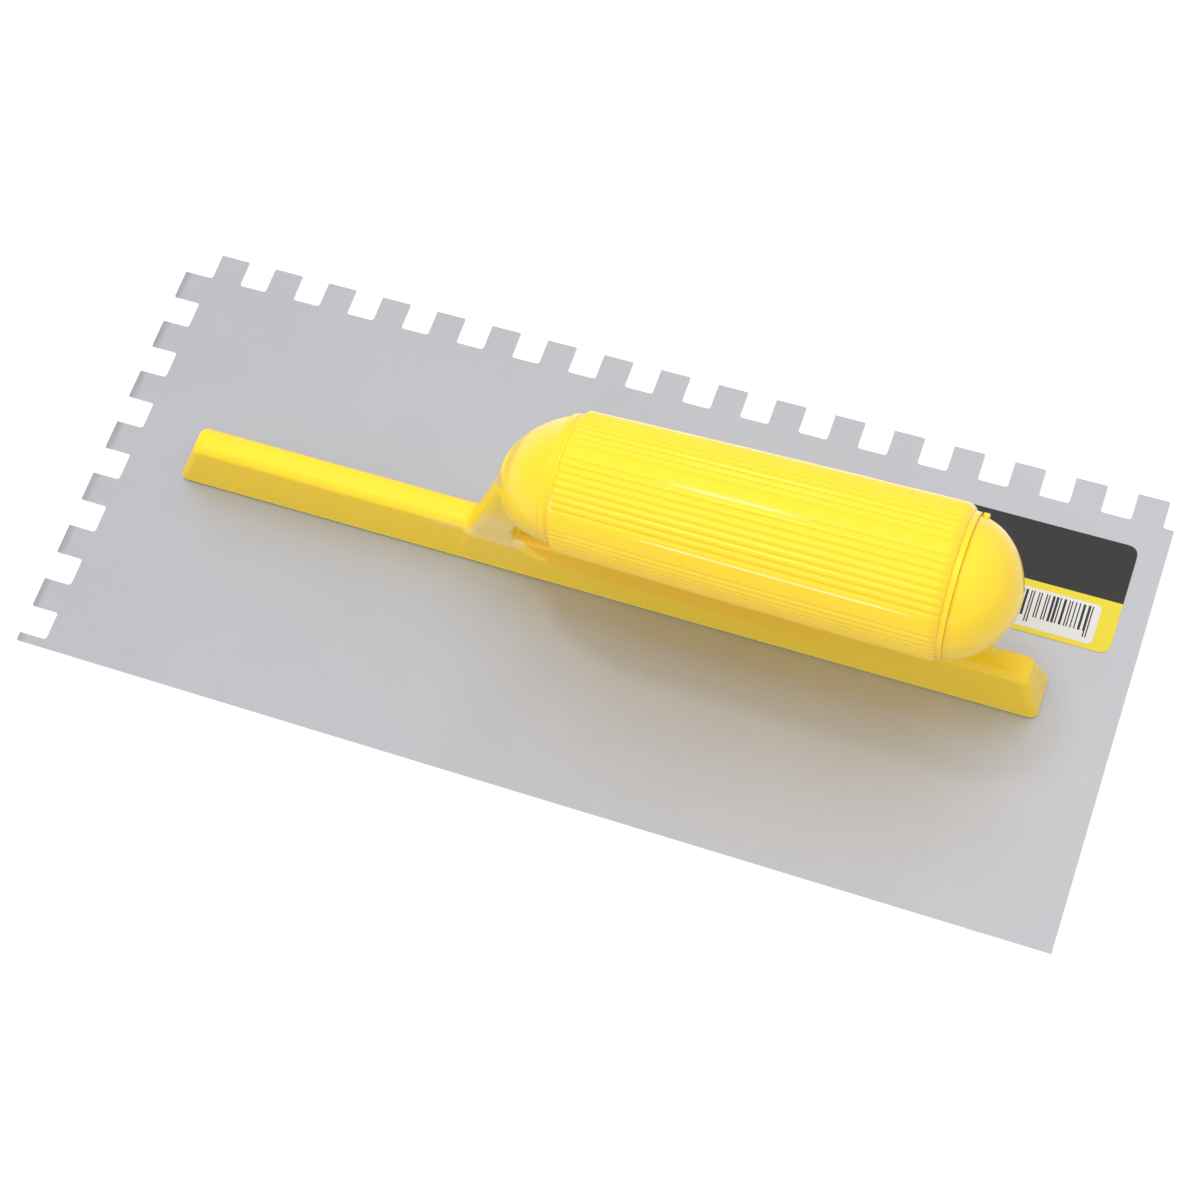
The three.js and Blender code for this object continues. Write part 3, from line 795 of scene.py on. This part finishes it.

# Painted reflection: a pale sheen of the white surroundings on the neck's flat sides
NECK_SHEEN_COLOUR = rgba(0.98, 0.74, 0.3)
NECK_SHEEN_SIDE = NECK_WIDTH / 2 - 1.2 * MM
NECK_SHEEN_SIDE_FADE = 1 * MM
NECK_SHEEN_LOW = 13.5 * MM
NECK_SHEEN_LOW_FADE = 1.2 * MM
NECK_SHEEN_HIGH = 34 * MM
NECK_SHEEN_HIGH_FADE = 7 * MM
NECK_SHEEN_REAR_FADE = 5 * MM
NECK_SHEEN_FRONT_FADE = 0.8 * MM
NECK_SHEEN_SCALE = 240
NECK_SHEEN_SPREAD = (0.35, 0.5)

# Painted highlights along edges of the grip, the groove's flank and the finger gap. Each line on
# the near side has an angle from the grip's top, a middle and a half length.
EDGE_HIGHLIGHT_COLOUR = rgba(1, 0.92, 0.5)
EDGE_HIGHLIGHT_LINES = (
    (TOP_LAND + 0.3 * RIB_PITCH, 44 * MM, 20 * MM),
    (TOP_LAND + (UPPER_GROOVES + 0.35) * RIB_PITCH, 57 * MM, 36 * MM),
    (math.radians(95), 33 * MM, 18 * MM),
)
EDGE_HIGHLIGHT_WIDTH = math.radians(1)
EDGE_HIGHLIGHT_FADE = 12 * MM
EDGE_HIGHLIGHT_SCALES = (60, 90, 90)
EDGE_HIGHLIGHT_SPREAD = (0.5, 0.8)
FLANK_HIGHLIGHT_X = GRIP_START - 0.25 * MM
FLANK_HIGHLIGHT_WIDTH = 0.45 * MM
FLANK_HIGHLIGHT_ANGLE = math.radians(50)
FLANK_HIGHLIGHT_REACH = math.radians(15)
GAP_HIGHLIGHT_WIDTH = 0.6 * MM
GAP_HIGHLIGHT_MIDDLE = BAR_TOP - 0.5 * MM
GAP_HIGHLIGHT_REACH = 4 * MM
GAP_HIGHLIGHT_SIDE = NECK_WIDTH / 2 - 2 * MM


def gap_edge(paint, z):
    """The gap's rear edge: it leans above the bar's top and sweeps forward below it."""
    over = paint.math("MAXIMUM", z - BAR_TOP, 0)
    under = paint.math("MAXIMUM", BAR_TOP - z, 0)
    return GAP_EDGE_X + over * NECK_LEAN + under * GAP_EDGE_SWEEP


def painted_under_grip_shade(paint, place):
    """Painted shade on the bar's upper wall below the grip: a deeper orange where the grip shades
    it.
    """
    x, _, z = paint.axes(place)
    rise = paint.ramp(z, UNDER_GRIP_SHADE_LOW, UNDER_GRIP_SHADE_RISE) * paint.above(UNDER_GRIP_SHADE_HIGH, z)
    rear = paint.ramp(x - gap_edge(paint, z), 0, UNDER_GRIP_SHADE_REAR_FADE)
    front = paint.ramp(x, GRIP_LENGTH, -UNDER_GRIP_SHADE_FRONT_FADE)
    cloud = varied(UNDER_GRIP_SHADE_SPREAD, paint.streaks(place, UNDER_GRIP_SHADE_SCALES, 3))
    return paint.math("MULTIPLY", rise * rear, front * cloud, clamp=True)


def painted_foot_highlight(paint, place):
    """A painted highlight: the thin, paler line along the foot of the bar, where its edge catches
    the light.
    """
    _, _, z = paint.axes(place)
    cloud = varied(FOOT_HIGHLIGHT_SPREAD, paint.streaks(place, FOOT_HIGHLIGHT_SCALES, 2))
    return paint.ramp(z, FOOT_HIGHLIGHT_TOP, -FOOT_HIGHLIGHT_FADE) * cloud


def painted_neck_sheen(paint, place):
    """A painted reflection: the pale sheen of the white surroundings on the neck's flat sides,
    strongest low down at the bar.
    """
    x, y, z = paint.axes(place)
    flat = paint.ramp(paint.distance(y, HANDLE_Y), NECK_SHEEN_SIDE, NECK_SHEEN_SIDE_FADE)
    low = paint.ramp(z, NECK_SHEEN_LOW, NECK_SHEEN_LOW_FADE)
    high = paint.ramp(z, NECK_SHEEN_HIGH, -NECK_SHEEN_HIGH_FADE)
    rear = paint.ramp(x, NECK_BAR_REAR, NECK_SHEEN_REAR_FADE)
    front = paint.ramp(x - gap_edge(paint, z), 0, -NECK_SHEEN_FRONT_FADE)
    cloud = varied(NECK_SHEEN_SPREAD, paint.noise(place, NECK_SHEEN_SCALE, 3))
    return paint.math("MULTIPLY", flat * low * high, rear * front * cloud, clamp=True)


def painted_edge_highlights(paint, place):
    """Painted highlights: pale lines on the grip's lands, the groove's flank and the gap's rear
    edge.
    """
    x, y, z = paint.axes(place)
    height = z - (BLADE_THICKNESS + GRIP_HEIGHT) - x * (GRIP_RISE / GRIP_LENGTH)
    angle = paint.math("ARCTAN2", HANDLE_Y - y, height)
    lines = 0
    for edge, middle, half in EDGE_HIGHLIGHT_LINES:
        along = paint.ramp(paint.distance(x, middle), half, -EDGE_HIGHLIGHT_FADE)
        lines = lines + paint.peak(angle, edge, EDGE_HIGHLIGHT_WIDTH) * along
    flank = (paint.peak(x, FLANK_HIGHLIGHT_X, FLANK_HIGHLIGHT_WIDTH)
             * paint.peak(angle, FLANK_HIGHLIGHT_ANGLE, FLANK_HIGHLIGHT_REACH))
    gap = (paint.peak(x - gap_edge(paint, z), 0, GAP_HIGHLIGHT_WIDTH)
           * paint.peak(z, GAP_HIGHLIGHT_MIDDLE, GAP_HIGHLIGHT_REACH)
           * paint.above(paint.distance(y, HANDLE_Y), GAP_HIGHLIGHT_SIDE))
    patchy = varied(EDGE_HIGHLIGHT_SPREAD, paint.streaks(place, EDGE_HIGHLIGHT_SCALES, 2))
    return paint.math("MULTIPLY", lines + flank + gap, patchy, clamp=True)


def plastic_paint():
    paint = finish("moulded_plastic", Metallic=0, IOR=PLASTIC_IOR)
    place = paint.place()
    cloud = paint.noise(place, PLASTIC_CLOUD_SCALE, 3)
    fine = paint.noise(place, PLASTIC_SKIN_SCALE, 2)
    colour = paint.mix(cloud, PLASTIC_YELLOW, PLASTIC_YELLOW_LIGHT)
    # Painted shade on the bar's upper wall under the grip
    colour = paint.mix(painted_under_grip_shade(paint, place), colour, UNDER_GRIP_SHADE_COLOUR)
    # Painted highlight along the bar's foot
    colour = paint.mix(painted_foot_highlight(paint, place), colour, FOOT_HIGHLIGHT_COLOUR)
    # Painted reflection on the neck's flat sides
    colour = paint.mix(painted_neck_sheen(paint, place), colour, NECK_SHEEN_COLOUR)
    # Painted highlights on the grip's edges, the groove's flank and the finger gap's rear edge
    colour = paint.mix(painted_edge_highlights(paint, place), colour, EDGE_HIGHLIGHT_COLOUR)
    rough = varied(PLASTIC_ROUGH_SPREAD, paint.noise(place, PLASTIC_GLOSS_SCALE, 3))
    skin = paint.bump(PLASTIC_SKIN_SHARE * fine + PLASTIC_CLOUD_SHARE * cloud,
                      PLASTIC_SKIN_STRENGTH, PLASTIC_SKIN_DEPTH)
    return paint.paint_shader(Base_Color=colour, Roughness=rough, Normal=skin)


# Ground steel
STEEL_DARK = rgba(0.485, 0.49, 0.52)
STEEL_LIGHT = rgba(0.59, 0.595, 0.625)
STEEL_GRAIN_SHARE = 0.4
STEEL_GRAIN_SCALES = (60, 1500, 1500)
STEEL_CLOUD_SCALE = 22
STEEL_ROUGH_SPREAD = (0.54, 0.08)
STEEL_BUMP_STRENGTH = 0.08
STEEL_BUMP_DEPTH = 0.02 * MM
# Darker, streaked colour over the blade's end towards -X
END_DARK_COLOUR = rgba(0.33, 0.33, 0.35)
END_DARK_X = -137.6 * MM
END_DARK_FADE = 1.6 * MM
END_DARK_SCALES = (900, 260, 400)
END_DARK_TURN = math.radians(40)
END_DARK_SPREAD = (0.15, 0.7)


def steel_paint():
    paint = finish("ground_steel", Metallic=1)
    place = paint.place()
    x, _, _ = paint.axes(place)
    grain = paint.streaks(place, STEEL_GRAIN_SCALES, 4, 0.65)
    cloud = paint.noise(place, STEEL_CLOUD_SCALE, 4, 0.6)
    tone = STEEL_GRAIN_SHARE * grain + (1 - STEEL_GRAIN_SHARE) * cloud
    colour = paint.mix(tone, STEEL_DARK, STEEL_LIGHT)
    end_streaks = paint.streaks(place, END_DARK_SCALES, 3, turn=END_DARK_TURN)
    tips = paint.ramp(x, END_DARK_X, -END_DARK_FADE) * varied(END_DARK_SPREAD, end_streaks)
    colour = paint.mix(tips, colour, END_DARK_COLOUR)
    ground = paint.bump(grain, STEEL_BUMP_STRENGTH, STEEL_BUMP_DEPTH)
    return paint.paint_shader(Base_Color=colour, Roughness=varied(STEEL_ROUGH_SPREAD, grain),
                              Normal=ground)


# Rivet steel
RIVET_DARK = rgba(0.42, 0.42, 0.43)
RIVET_LIGHT = rgba(0.55, 0.55, 0.56)
RIVET_ROUGH_SPREAD = (0.32, 0.15)
RIVET_GRAIN_SCALE = 1500


def rivet_paint():
    paint = finish("rivet_steel", Metallic=1)
    grain = paint.noise(paint.place(), RIVET_GRAIN_SCALE, 3)
    colour = paint.mix(grain, RIVET_DARK, RIVET_LIGHT)
    return paint.paint_shader(Base_Color=colour, Roughness=varied(RIVET_ROUGH_SPREAD, grain))


# Label
FILM_IOR = 1.5
FILM_ROUGH_SPREAD = (0.3, 0.12)
FILM_WEAR_SCALE = 260
LABEL_BLACK = rgba(0.007, 0.0065, 0.007)
LABEL_BLACK_WORN = rgba(0.013, 0.012, 0.013)
LABEL_YELLOW = rgba(0.72, 0.59, 0.026)
LABEL_WHITE = rgba(0.67, 0.67, 0.67)
LABEL_SPLIT_Y = 30.85 * MM
WHITE_LEFT, WHITE_RIGHT = 91 * MM, 128.2 * MM
WHITE_LOW, WHITE_HIGH = 17.9 * MM, 28.9 * MM
WHITE_ROUND = 1.2 * MM
STRIPE_MODULE = 0.33 * MM
STRIPE_MODULES = 95
STRIPE_FIRST_X = 94.95 * MM
STRIPE_FOOT_Y = 20.9 * MM
STRIPE_LONG_FOOT_Y = 19.3 * MM
STRIPE_HEAD_Y = 28.1 * MM
STRIPE_GROUP = 3
# Luck below which a group's first module is black, and above which its middle and last are
FIRST_BLACK, MIDDLE_BLACK, LAST_BLACK = 0.6, 0.3, 0.85
LONG_STRIPE_MODULES = 3
MIDDLE_STRIPE_REACH = 2.5


def past(paint, value, low, high, radius):
    """How far the value stands outside the range, less the radius at both ends."""
    half = (high - low) / 2 - radius
    return paint.math("MAXIMUM", paint.distance(value, (low + high) / 2) - half, 0)


def white_field(paint, x, y):
    """1 inside a rectangle with rounded corners, and 0 elsewhere."""
    over_x = past(paint, x, WHITE_LEFT, WHITE_RIGHT, WHITE_ROUND)
    over_y = past(paint, y, WHITE_LOW, WHITE_HIGH, WHITE_ROUND)
    corner = paint.math("SQRT", over_x * over_x + over_y * over_y)
    return paint.above(WHITE_ROUND, corner)


def stripes(paint, x, y):
    """Plain stripes of one to four modules, longer at both ends and in the middle."""
    module = paint.math("FLOOR", (x - STRIPE_FIRST_X) * (1 / STRIPE_MODULE))
    group = paint.math("FLOOR", module * (1 / STRIPE_GROUP))
    step = module - STRIPE_GROUP * group
    luck = paint.node("ShaderNodeTexWhiteNoise", {"noise_dimensions": "1D"}, {"W": group})
    first = paint.above(0.5, step) * paint.above(FIRST_BLACK, luck)
    middle = paint.above(1.5, step) * paint.above(step, 0.5) * paint.above(luck, MIDDLE_BLACK)
    last = paint.above(step, 1.5) * paint.above(luck, LAST_BLACK)
    long = (paint.above(LONG_STRIPE_MODULES - 0.5, module)
            + paint.above(module, STRIPE_MODULES - LONG_STRIPE_MODULES - 0.5)
            + paint.above(MIDDLE_STRIPE_REACH, paint.distance(module, (STRIPE_MODULES - 1) / 2)))
    even = paint.above(0.5, paint.math("MODULO", module + STRIPE_MODULES * 2, 2))
    drawn = (first + last + middle) * (1 - long) + even * long
    inside = paint.above(module, -0.5) * paint.above(STRIPE_MODULES - 0.5, module)
    foot = STRIPE_FOOT_Y - (STRIPE_FOOT_Y - STRIPE_LONG_FOOT_Y) * long
    return drawn * inside * paint.above(y, foot) * paint.above(STRIPE_HEAD_Y, y)


def label_paint():
    """A black field over a yellow one, with a white field of plain stripes in the yellow."""
    paint = finish("printed_film", Metallic=0, IOR=FILM_IOR)
    place = paint.place()
    x, y, _ = paint.axes(place)
    wear = paint.noise(place, FILM_WEAR_SCALE, 3)
    black = paint.mix(wear, LABEL_BLACK, LABEL_BLACK_WORN)
    colour = paint.mix(paint.above(y, LABEL_SPLIT_Y), LABEL_YELLOW, black)
    colour = paint.mix(white_field(paint, x, y), colour, LABEL_WHITE)
    colour = paint.mix(stripes(paint, x, y), colour, black)
    return paint.paint_shader(Base_Color=colour, Roughness=varied(FILM_ROUGH_SPREAD, wear))


# Pieces

handle = make_handle()
cap = make_cap()
blade = make_blade()

plastic = plastic_paint()
handle.data.materials.append(plastic)
cap.data.materials.append(plastic)
blade.data.materials.append(steel_paint())
rivet_steel = rivet_paint()
film = label_paint()
for name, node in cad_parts.items():
    if name.startswith("rivet"):
        node.data.materials.clear()
        node.data.materials.append(rivet_steel)
    if name == "label":
        node.data.materials.clear()
        node.data.materials.append(film)


# Floor, light and camera

FLOOR_REACH = 3
FLOOR_COLOUR = rgba(0.8, 0.8, 0.8)
FLOOR_ROUGH = 0.9
FLOOR_GLOW = 0.2
WHITE = rgba(1, 1, 1)

# Strength of the world's light at the side and what it gains overhead, and the strength of the
# white studio that is shown or mirrored and what it gains towards +X
SKY_SIDE = 0.29
SKY_OVERHEAD = 0.76
STUDIO_WHITE = 1.18
STUDIO_AHEAD = 0.5

# Direction, distance, size, radiance and whether the finishes mirror it
LAMPS = {
    "overhead": ((-0.22, 0.1, 0.97), 1.2, (0.1, 0.1), 20, True),
    "soft_box": ((-0.2, 0.03, 0.98), 1.3, (0.9, 0.9), 3.8, False),
    "low_front": ((-0.12, -0.98, 0.16), 1.5, (1.0, 0.05), 6, True),
}
LAMP_TARGET = Vector((0.045, 0, 0.05))

CAMERA_PLACE = Vector((0.150853, -0.230192, 0.600623))
CAMERA_RIGHT = Vector((0.93808719, 0.33010255, -0.10499872))
CAMERA_DOWN = Vector((0.26578676, -0.88030663, -0.3929601))
CAMERA_AHEAD = Vector((-0.2221482, 0.34072357, -0.91354126))
CAMERA_LENS = 75.969
CAMERA_SENSOR = 36
CAMERA_NEAREST = 0.01


def shown_ray(paint):
    """1 for the rays that show the background: straight, mirrored or through glass."""
    seen, mirrored, through = [paint.node("ShaderNodeLightPath", out=ray) for ray in (
        "Is Camera Ray", "Is Glossy Ray", "Is Transmission Ray")]
    return paint.math("MAXIMUM", seen, paint.math("MAXIMUM", mirrored, through))


def make_floor():
    bm = bmesh.new()
    bmesh.ops.create_grid(bm, x_segments=1, y_segments=1, size=FLOOR_REACH)
    floor = new_object("floor", new_mesh("floor", bm))
    paint = finish("floor_white", Roughness=FLOOR_ROUGH, Specular_IOR_Level=0,
                   Emission_Color=WHITE, Base_Color=FLOOR_COLOUR)
    paint.paint_shader(Emission_Strength=FLOOR_GLOW * shown_ray(paint))
    floor.data.materials.append(paint.owner)


def make_lamp(name, way, distance, size, radiance, mirrored):
    """A flat light of an even radiance that faces the tool from the given direction."""
    light = bpy.data.lights.new(name, "AREA")
    light.shape = "RECTANGLE"
    light.size, light.size_y = size
    light.energy = radiance * size[0] * size[1] * math.pi
    item = new_object(name, light)
    item.location = LAMP_TARGET + Vector(way).normalized() * distance
    item.rotation_euler = Vector(way).to_track_quat("Z", "Y").to_euler()
    item.visible_glossy = mirrored


def make_world():
    """A white studio whose light comes mostly from overhead."""
    world = bpy.data.worlds.new("studio")
    paint = Paint(world, "Background", Color=WHITE)
    x, _, z = paint.axes(paint.node("ShaderNodeTexCoord", out="Generated"))
    light = SKY_SIDE + SKY_OVERHEAD * paint.math("MAXIMUM", z, 0)
    white = STUDIO_WHITE + STUDIO_AHEAD * x
    paint.paint_shader(Strength=light + (white - light) * shown_ray(paint))
    bpy.context.scene.world = world


def make_camera():
    data = bpy.data.cameras.new("camera")
    data.lens = CAMERA_LENS
    data.sensor_width = CAMERA_SENSOR
    data.clip_start = CAMERA_NEAREST
    camera = new_object("camera", data)
    turn = Matrix((CAMERA_RIGHT, -CAMERA_DOWN, -CAMERA_AHEAD)).transposed()
    camera.matrix_world = Matrix.Translation(CAMERA_PLACE) @ turn.to_4x4()
    bpy.context.scene.camera = camera


make_floor()
for name, settings in LAMPS.items():
    make_lamp(name, *settings)
make_world()
make_camera()
bpy.context.scene.view_settings.view_transform = "Standard"
